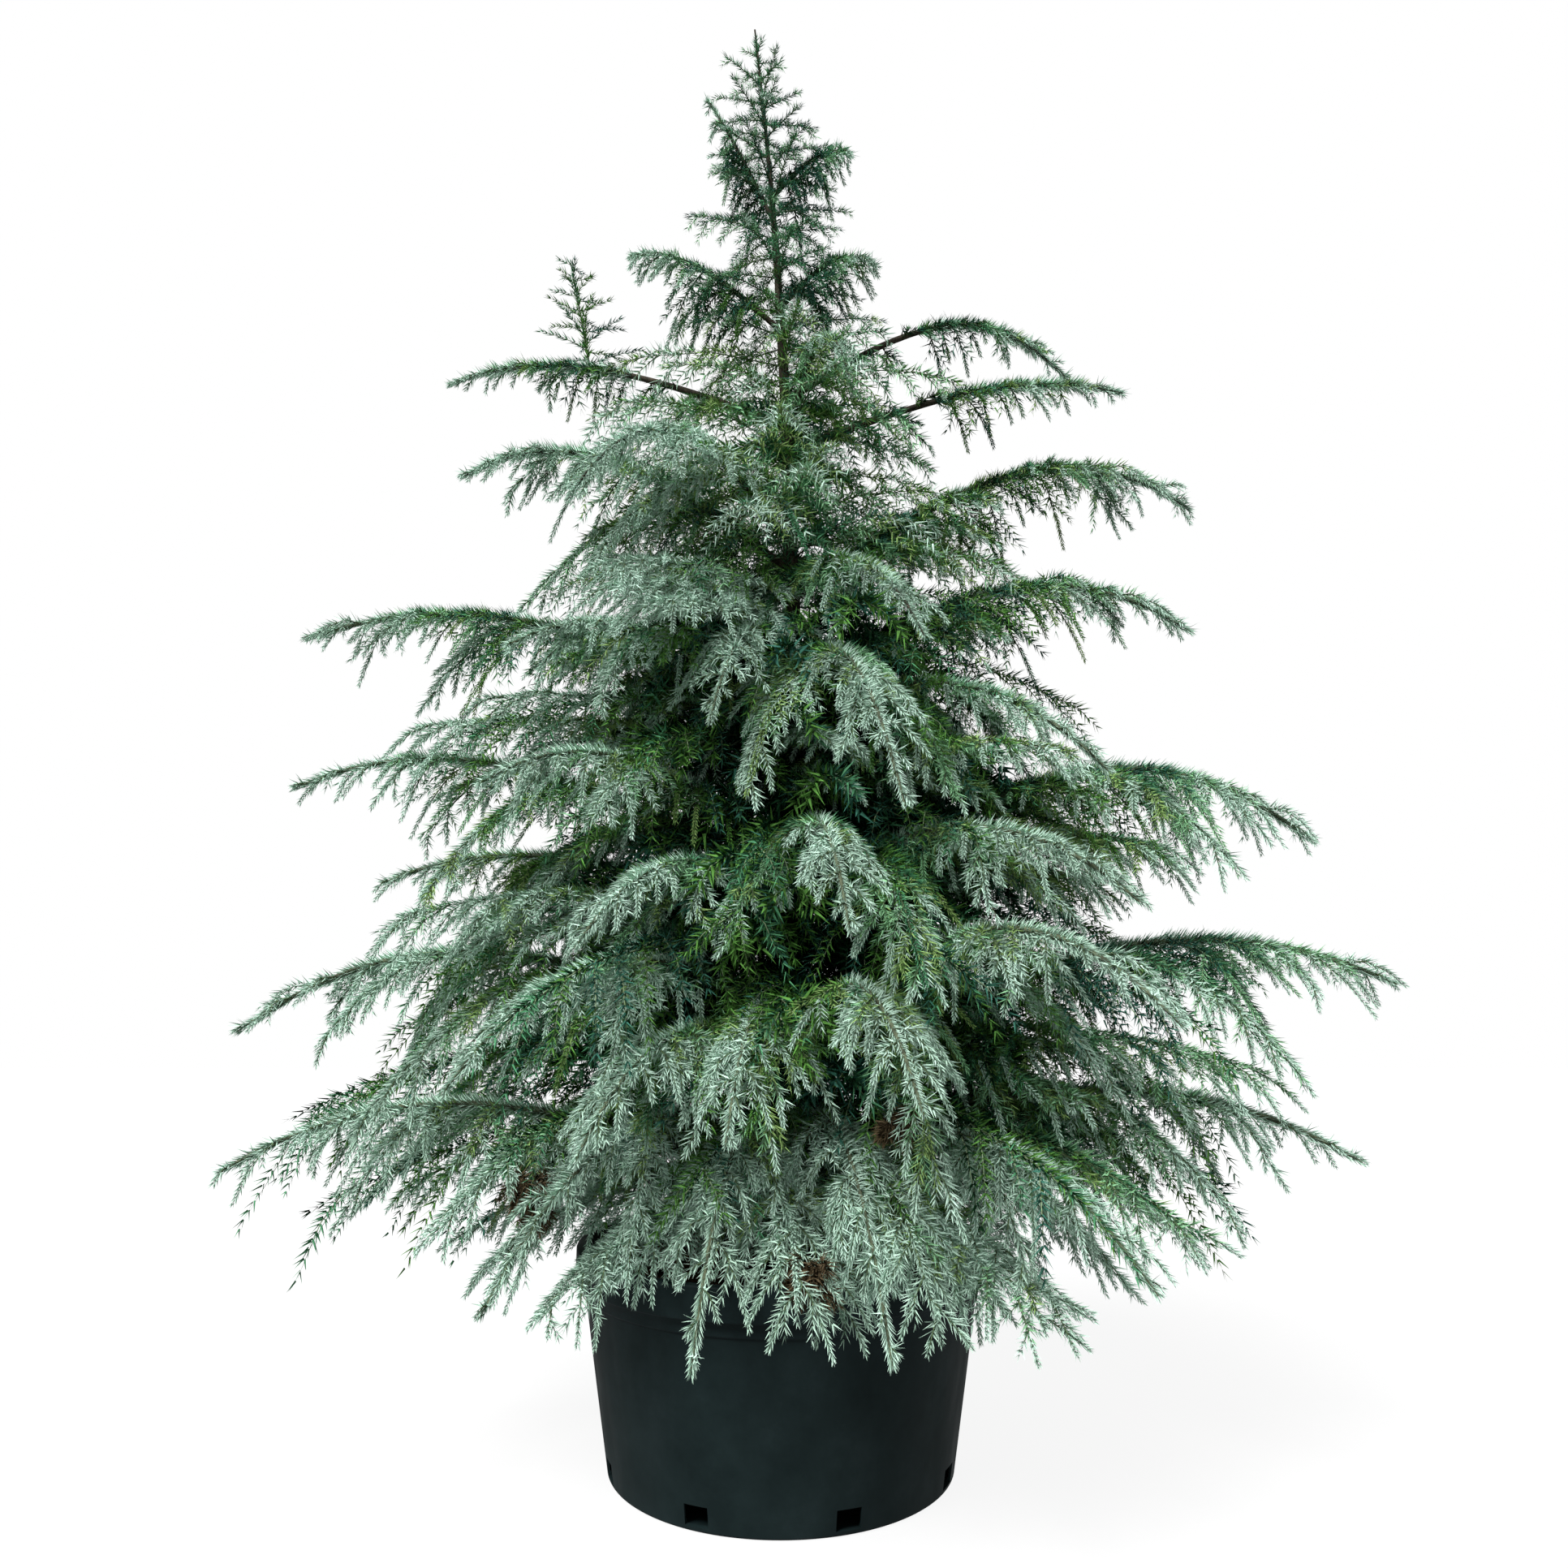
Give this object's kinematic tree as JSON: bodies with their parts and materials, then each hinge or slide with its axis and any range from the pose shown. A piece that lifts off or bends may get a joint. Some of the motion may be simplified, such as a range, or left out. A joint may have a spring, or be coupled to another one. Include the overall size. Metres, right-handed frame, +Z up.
{
  "type": "potted deodar cedar",
  "caption": "Young deodar cedar with drooping blue-green foliage in tiers, whole from soil to leader, growing in a black plastic nursery pot.",
  "frame": {"origin": "centre of the pot's flat underside", "axes": "+Z up along the trunk; the front of the plant faces -Y, and +X is to its right in a front view"},
  "size_m": [1.4878, 1.0473, 2.15],
  "materials": {
    "pot_plastic": "moulded black polypropylene, faint sheen, slightly scuffed",
    "potting_soil": "moist bark compost, rough and crumbly",
    "bark": "young grey-brown bark, finely fissured",
    "needles": "waxy blue-green needles, silvery on young shoots"
  },
  "bodies": {
    "root": {"pot": "pot_plastic", "soil": "potting_soil", "trunk": "bark", "bough_low_1": "bark", "bough_middle_1": "bark", "bough_upper_1": "bark", "bough_upper_2": "bark", "bough_high_1": "bark", "bough_crown_1": "bark", "bough_crown_2": "bark", "bough_crown_3": "bark", "foliage_skirt_1": "needles", "foliage_skirt_2": "needles", "foliage_skirt_3": "needles", "foliage_skirt_4": "needles", "foliage_skirt_5": "needles", "foliage_skirt_6": "needles", "foliage_skirt_7": "needles", "foliage_skirt_8": "needles", "foliage_skirt_9": "needles", "foliage_low_1": "needles", "foliage_low_2": "needles", "foliage_low_3": "needles", "foliage_low_4": "needles", "foliage_low_5": "needles", "foliage_low_6": "needles", "foliage_low_7": "needles", "foliage_low_8": "needles", "foliage_low_9": "needles", "foliage_middle_1": "needles", "foliage_middle_2": "needles", "foliage_middle_3": "needles", "foliage_middle_4": "needles", "foliage_middle_5": "needles", "foliage_middle_6": "needles", "foliage_middle_7": "needles", "foliage_middle_8": "needles", "foliage_middle_9": "needles", "foliage_upper_1": "needles", "foliage_upper_2": "needles", "foliage_upper_3": "needles", "foliage_upper_4": "needles", "foliage_upper_5": "needles", "foliage_upper_6": "needles", "foliage_upper_7": "needles", "foliage_upper_8": "needles", "foliage_high_1": "needles", "foliage_high_2": "needles", "foliage_high_3": "needles", "foliage_high_4": "needles", "foliage_high_5": "needles", "foliage_crown_1": "needles", "foliage_crown_2": "needles", "foliage_crown_3": "needles", "foliage_crown_4": "needles", "foliage_crown_5": "needles", "foliage_leader_1": "needles", "foliage_leader_2": "needles", "foliage_tip_1": "needles", "foliage_tip_2": "needles"}
  },
  "joints": []
}
